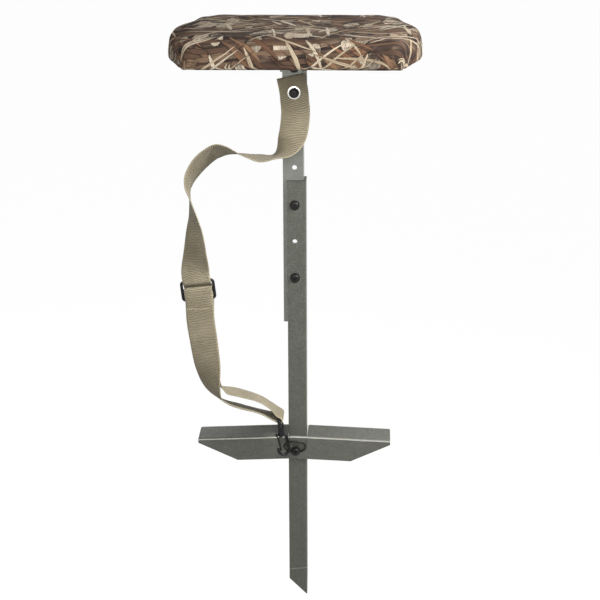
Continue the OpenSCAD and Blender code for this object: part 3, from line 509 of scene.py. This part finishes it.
# Shoulder strap: one length of ribbed tan webbing, bolted through a grommet under the seat.
# It swings out to the left, passes the slide buckle, goes round the bar of the swivel hook and
# comes back up to be sewn round the buckle's middle bar. Its weft ribs run across its width.
strap_width = 0.0381
strap_thickness = 0.0018
strap_y = 0.0008
strap_level = 0.4864
rib_pitch = 0.0022
yarn_pitch = 0.0014
station_step = 0.004
station_turn = math.radians(10)
buckle = Vector((-0.1295, -0.026, 0.222))
buckle_lean = math.radians(-6.5)
buckle_pitch = 0.0126
wrap = 0.0035
behind = 0.0056
hook_bar = Vector((-0.02095, -0.01849, 0.03869))
bar_wrap = 0.0036


def on_buckle(y, z):
    return (buckle + Vector((z * math.sin(buckle_lean), y, z * math.cos(buckle_lean))),
            Vector((math.cos(buckle_lean), 0, -math.sin(buckle_lean))))


def on_bar(x, z, rise=0.0):
    return hook_bar + Vector((x, 0, z)), Vector((0, -1, rise))


def row(x, y, z, wide_x, wide_y, wide_z):
    return Vector((x, y, z)), Vector((wide_x, wide_y, wide_z))


upper_run = [
    row(-0.0042, strap_y, strap_level + 0.022, 1, 0, 0.2),
    row(-0.0017, strap_y, strap_level + 0.010, 1, 0, 0.16),
    row(0, strap_y, strap_level, 1, 0, 0.08),
    row(0.0007, strap_y, strap_level - 0.010, 1, 0, 0),
    row(0.0014, strap_y, strap_level - 0.017, 1, 0, 0),
    row(0.002, -0.0015, strap_level - 0.028, 0.97, 0.1, -0.05),
    row(-0.001, -0.008, strap_level - 0.053, 0.95, -0.2, -0.25),
    row(-0.010, -0.015, strap_level - 0.071, 0.75, -0.65, -0.1),
    row(-0.026, -0.019, 0.4045, 0.2, -0.97, 0.1),
    row(-0.047, -0.020, 0.403, 0.25, -0.96, -0.05),
    row(-0.073, -0.021, 0.409, 0.08, -0.97, 0.22),
    row(-0.092, -0.022, 0.413, 0.08, -0.84, 0.54),
    row(-0.105, -0.022, 0.411, 0.05, -0.72, 0.69),
    row(-0.122, -0.024, 0.398, -0.11, -0.71, 0.7),
    row(-0.135, -0.026, 0.380, -0.2, -0.8, 0.53),
    row(-0.139, -0.028, 0.364, -0.1, -0.88, 0.45),
    row(-0.137, -0.029, 0.348, 0.1, -0.96, 0.24),
    row(-0.133, -0.030, 0.323, 0.39, -0.9, 0.2),
    row(-0.132, -0.030, 0.305, 0.62, -0.75, 0.15),
    row(-0.132, -0.030, 0.272, 0.88, -0.47, 0.1),
    on_buckle(-wrap - 0.0003, buckle_pitch * 2),
    on_buckle(-wrap - 0.0001, buckle_pitch * 1.4),
    on_buckle(-wrap, buckle_pitch),
    on_buckle(-wrap * 0.76, buckle_pitch - wrap * 0.7),
    on_buckle(-0.0002, buckle_pitch - wrap * 1.25),
    on_buckle(wrap * 0.85, buckle_pitch - wrap * 1.85),
    on_buckle(behind - 0.0007, 0.0026),
    on_buckle(behind, -0.001),
    on_buckle(behind, -buckle_pitch / 2),
]
rear_run = [
    on_buckle(behind - 0.0005, -buckle_pitch * 1.33),
    row(-0.128, -0.020, 0.180, 0.99, 0, 0.03),
    row(-0.1245, -0.019, 0.150, 0.99, -0.05, -0.1),
    row(-0.120, -0.018, 0.118, 0.95, -0.25, -0.15),
    row(-0.1135, -0.018, 0.095, 0.75, -0.65, -0.1),
    row(-0.098, -0.018, 0.078, 0.4, -0.9, 0),
    row(-0.076, -0.018, 0.072, 0.07, -0.99, 0.05),
    on_bar(-0.029, 0.0255, 0.12),
    on_bar(-0.013, 0.0155, 0.12),
    on_bar(-0.004, 0.007),
    on_bar(0.0014, bar_wrap),
    on_bar(bar_wrap + 0.0008, 0),
]
front_run = [
    on_bar(0.0014, -bar_wrap),
    on_bar(-0.007, -0.0012, 0.05),
    on_bar(-0.028, 0.0065, 0.22),
    row(-0.076, -0.020, 0.053, 0.08, -0.97, 0.18),
    row(-0.095, -0.022, 0.060, 0.3, -0.94, 0.15),
    row(-0.108, -0.025, 0.071, 0.5, -0.86, 0.05),
    row(-0.115, -0.027, 0.090, 0.75, -0.65, 0.05),
    row(-0.119, -0.028, 0.118, 0.95, -0.25, -0.1),
    row(-0.123, -0.0285, 0.150, 0.99, -0.05, -0.1),
    row(-0.1266, -0.0292, 0.180, 0.99, 0, 0.05),
    on_buckle(-wrap - 0.0002, -buckle_pitch * 1.33),
    on_buckle(-wrap - 0.0001, -buckle_pitch * 0.6),
    on_buckle(-wrap, 0),
    on_buckle(-wrap * 0.72, wrap * 0.72),
    on_buckle(0, wrap),
    on_buckle(wrap * 0.72, wrap * 0.72),
    on_buckle(wrap, 0),
    on_buckle(wrap - 0.0001, -0.004),
]
route = upper_run + rear_run + front_run
buckle_row = len(upper_run) - 1
hook_row = buckle_row + len(rear_run)


def near_rows(number):
    last = len(route) - 1
    return [route[min(max(number + step, 0), last)] for step in (-1, 0, 1, 2)]


def smooth(a, b, c, d, t):
    return 0.5 * (2 * b + (c - a) * t + (2 * a - 5 * b + 4 * c - d) * t * t
                  + (3 * b - a - 3 * c + d) * t * t * t)


def heading(number, t):
    a, b, c, d = (point for point, _ in near_rows(number))
    return ((c - a) + 2 * (2 * a - 5 * b + 4 * c - d) * t
            + 3 * (3 * b - a - 3 * c + d) * t * t).normalized()


def station(number, t):
    points, widths = zip(*near_rows(number))
    along = heading(number, t)
    wide = smooth(*widths, t)
    across = (wide - along * wide.dot(along)).normalized()
    face = along.cross(across)
    spot = smooth(*points, t)
    return Matrix((
        (across.x, face.x, along.x, spot.x),
        (across.y, face.y, along.y, spot.y),
        (across.z, face.z, along.z, spot.z),
        (0, 0, 0, 1)))


def stations(first, last):
    made = []
    for number in range(first, last):
        length = (route[number + 1][0] - route[number][0]).length
        turn = heading(number, 0).angle(heading(number, 1))
        steps = max(2, math.ceil(length / station_step), math.ceil(turn / station_turn))
        made += [station(number, step / steps) for step in range(steps)]
    return made + [station(last - 1, 1)]


half_width = strap_width / 2
half_thick = strap_thickness / 2
upper_edge = [(half_width - 0.0022, half_thick), (half_width - 0.0006, half_thick * 0.8)]
web_section = ([(-x, y) for x, y in reversed(upper_edge)]
               + [(x * half_width, half_thick) for x in (-0.6, -0.3, 0, 0.3, 0.6)] + upper_edge
               + [(half_width, 0)])
web_section += [(-x, -y) for x, y in web_section]


def weave(name, first, last, material):
    places = stations(first, last)
    web = bmesh.new()
    across = web.verts.layers.float.new("across")
    along = web.verts.layers.float.new("along")
    ring = []
    for x, y in web_section:
        vertex = web.verts.new(places[0] @ Vector((x, y, 0)))
        vertex[across] = x
        ring.append(vertex)
    edges = [web.edges.new((ring[i - 1], ring[i])) for i in range(len(ring))]
    bmesh.ops.contextual_create(web, geom=edges)
    run = 0.0
    for before, after in zip(places, places[1:]):
        run += (after.translation - before.translation).length
        grown = bmesh.ops.extrude_edge_only(web, edges=edges)["geom"]
        ring = [part for part in grown if isinstance(part, bmesh.types.BMVert)]
        fresh = set(ring)
        edges = [part for part in grown if isinstance(part, bmesh.types.BMEdge)
                 and part.verts[0] in fresh and part.verts[1] in fresh]
        bmesh.ops.transform(web, matrix=after @ before.inverted(), verts=ring)
        for vertex in ring:
            vertex[along] = run
    bmesh.ops.contextual_create(web, geom=edges)
    bmesh.ops.recalc_face_normals(web, faces=web.faces)
    cloth = web.loops.layers.uv.new("cloth")
    for face in web.faces:
        for loop in face.loops:
            loop[cloth].uv = loop.vert[across], loop.vert[along]
    piece = as_piece(name, web, material)
    return piece, [matrix.translation for matrix in places], run


webbing, tree, shader = finish("tan_webbing", roughness=0.86)
shader.inputs["Sheen Weight"].default_value = 0.08
lay = place(tree, "ShaderNodeUVMap", {}, uv_map="cloth").outputs["UV"]
drift = place(tree, "ShaderNodeTexNoise", {"Vector": lay, "Scale": 130.0, "Detail": 2.0}).outputs["Fac"]
tone = place(tree, "ShaderNodeTexNoise", {"Vector": lay, "Scale": 24.0, "Detail": 3.0}).outputs["Fac"]
parts = place(tree, "ShaderNodeSeparateXYZ", {"Vector": lay}).outputs
wander = sums(tree, "MULTIPLY", sums(tree, "SUBTRACT", drift, 0.5), 0.0034)
slant = sums(tree, "MULTIPLY", parts["X"], 0.18)
rib_line = sums(tree, "ADD", sums(tree, "ADD", parts["Y"], wander), slant)
rib = sums(tree, "ABSOLUTE", sums(tree, "SINE", sums(tree, "MULTIPLY", rib_line, math.pi / rib_pitch)))
yarn = sums(tree, "ABSOLUTE", sums(tree, "SINE", sums(tree, "MULTIPLY", parts["X"], math.pi / yarn_pitch)))
thread = sums(tree, "MULTIPLY", rib, sums(tree, "ADD", sums(tree, "MULTIPLY", yarn, 0.4), 0.6))
web_tone = ramp(tree, tone, [(0.35, srgb(141, 131, 107)), (0.65, srgb(163, 153, 128))])
web_tone = over(tree, sums(tree, "SUBTRACT", 0.95, thread), web_tone, srgb(66, 59, 44))
selvedge = place(tree, "ShaderNodeMapRange", {"Value": sums(tree, "ABSOLUTE", parts["X"]),
                                              "From Min": half_width - 0.0022,
                                              "From Max": half_width - 0.0010,
                                              "To Max": 0.18}).outputs["Result"]
web_tone = over(tree, selvedge, web_tone, srgb(182, 171, 144))
tree.links.new(web_tone, shader.inputs["Base Color"])
raise_grain(tree, shader, thread, distance=0.0005, strength=0.35)

strap, strap_path, strap_length = weave("shoulder_webbing", 0, buckle_row, webbing)
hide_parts("shoulder_strap")
back_layer, back_path, back_length = weave("rear_webbing", buckle_row, hook_row, webbing)
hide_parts("strap_return")
front_layer, front_path, front_length = weave("front_webbing", hook_row, len(route) - 1, webbing)
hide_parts("strap_loop")
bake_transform(strap)
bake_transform(back_layer)
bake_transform(front_layer)
sewn = bmesh.new()
seam = station(hook_row + 10, 0.6)
for number in range(14):
    x = strap_width * (0.06 + 0.88 * number / 13 - 0.5)
    bmesh.ops.create_icosphere(sewn, subdivisions=2, radius=1.0,
                               matrix=seam @ Matrix.Translation((x, -half_thick - 0.0002, 0))
                               @ Matrix.Diagonal((0.0009, 0.0004, 0.0004, 1.0)))
thread_tan, tree, shader = finish("sewing_thread", roughness=0.7)
spot = place(tree, "ShaderNodeTexCoord", {}).outputs["Object"]
plies = place(tree, "ShaderNodeTexWave", {"Vector": spot, "Scale": 700.0, "Distortion": 1.0},
              bands_direction="DIAGONAL").outputs["Fac"]
tree.links.new(ramp(tree, plies, [(0.2, srgb(186, 175, 146)), (0.8, srgb(214, 205, 179))]),
               shader.inputs["Base Color"])
raise_grain(tree, shader, plies, distance=0.0001, strength=0.3)
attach(as_piece("strap_stitches", sewn, thread_tan), "stake")


# Ground and light: a white studio sweep under an even sky, with five soft lamps round the seat: above
# its front, over its top, to its right and two behind it, of which the left one only glints on the foot
# plate. The camera stands in front, a little to the right, and looks down on the seat.
floor_z = -0.2432
floor_mesh = bmesh.new()
bmesh.ops.create_grid(floor_mesh, x_segments=1, y_segments=1, size=30.0,
                      matrix=Matrix.Translation((0, 0, floor_z)))
sweep, tree, shader = finish("white_sweep", roughness=0.9)
shader.inputs["Base Color"].default_value = (0.5, 0.5, 0.5, 1.0)
rays = place(tree, "ShaderNodeLightPath", {}).outputs
seen = sums(tree, "MAXIMUM", rays["Is Camera Ray"],
            sums(tree, "MAXIMUM", rays["Is Glossy Ray"], rays["Is Transmission Ray"]))
glow = place(tree, "ShaderNodeEmission", {"Color": (1, 1, 1, 1), "Strength": 1.08}).outputs[0]
shown = place(tree, "ShaderNodeMixShader", {0: sums(tree, "MULTIPLY", seen, 0.9), 1: shader.outputs[0],
                                            2: glow}).outputs[0]
tree.links.new(shown, tree.nodes["Material Output"].inputs["Surface"])
mesh = bpy.data.meshes.new("studio_floor")
floor_mesh.to_mesh(mesh)
floor_mesh.free()
mesh.materials.append(sweep)
floor = bpy.data.objects.new("studio_floor", mesh)
bpy.context.scene.collection.objects.link(floor)

sky = bpy.data.worlds.new("studio_sky")
sky.use_nodes = True
sky.node_tree.nodes["Background"].inputs["Color"].default_value = (1, 1, 1, 1)
sky.node_tree.nodes["Background"].inputs["Strength"].default_value = 0.24
bpy.context.scene.world = sky


def hang_lamp(name, spot, target, size, power, spread):
    lamp = bpy.data.lights.new(name, "AREA")
    lamp.shape = "DISK"
    lamp.size = size
    lamp.energy = power
    lamp.spread = math.radians(spread)
    holder = bpy.data.objects.new(name, lamp)
    holder.location = spot
    holder.rotation_euler = (Vector(target) - Vector(spot)).to_track_quat("-Z", "Y").to_euler()
    bpy.context.scene.collection.objects.link(holder)


hang_lamp("key_lamp", (-0.10, -1.08, 0.84), (0, 0, 0.47), 0.9, 3.2, 80)
hang_lamp("top_lamp", (0.1, -0.45, 1.5), (0, 0, 0.1), 0.6, 0.3, 160)
hang_lamp("rear_lamp", (0.45, 1.25, 1.0), (0, 0, 0.25), 0.9, 1.9, 110)
hang_lamp("left_lamp", (-0.42, 1.40, 0.53), (-0.10, 0, 0), 0.28, 0.36, 160)
hang_lamp("side_lamp", (0.95, -0.50, 1.0), (0.05, 0, 0.0), 0.5, 7.0, 80)

eye = Vector((0.10867, -2.33548, 0.938))
turn, tilt, roll = math.radians(2.5), math.radians(17.5), math.radians(-0.25)
level = Vector((math.cos(turn), math.sin(turn), 0))
ahead = Vector((-math.sin(turn) * math.cos(tilt), math.cos(turn) * math.cos(tilt), -math.sin(tilt)))
upright = level.cross(ahead)
right = level * math.cos(roll) + upright * math.sin(roll)
up = upright * math.cos(roll) - level * math.sin(roll)
camera = bpy.data.objects.new("photo_camera", bpy.data.cameras.new("photo_camera"))
camera.data.sensor_width = 36.0
camera.data.lens = 108.0
camera.matrix_world = Matrix((
    (right.x, up.x, -ahead.x, eye.x),
    (right.y, up.y, -ahead.y, eye.y),
    (right.z, up.z, -ahead.z, eye.z),
    (0, 0, 0, 1)))
bpy.context.scene.collection.objects.link(camera)
bpy.context.scene.camera = camera
bpy.context.scene.view_settings.view_transform = "Standard"
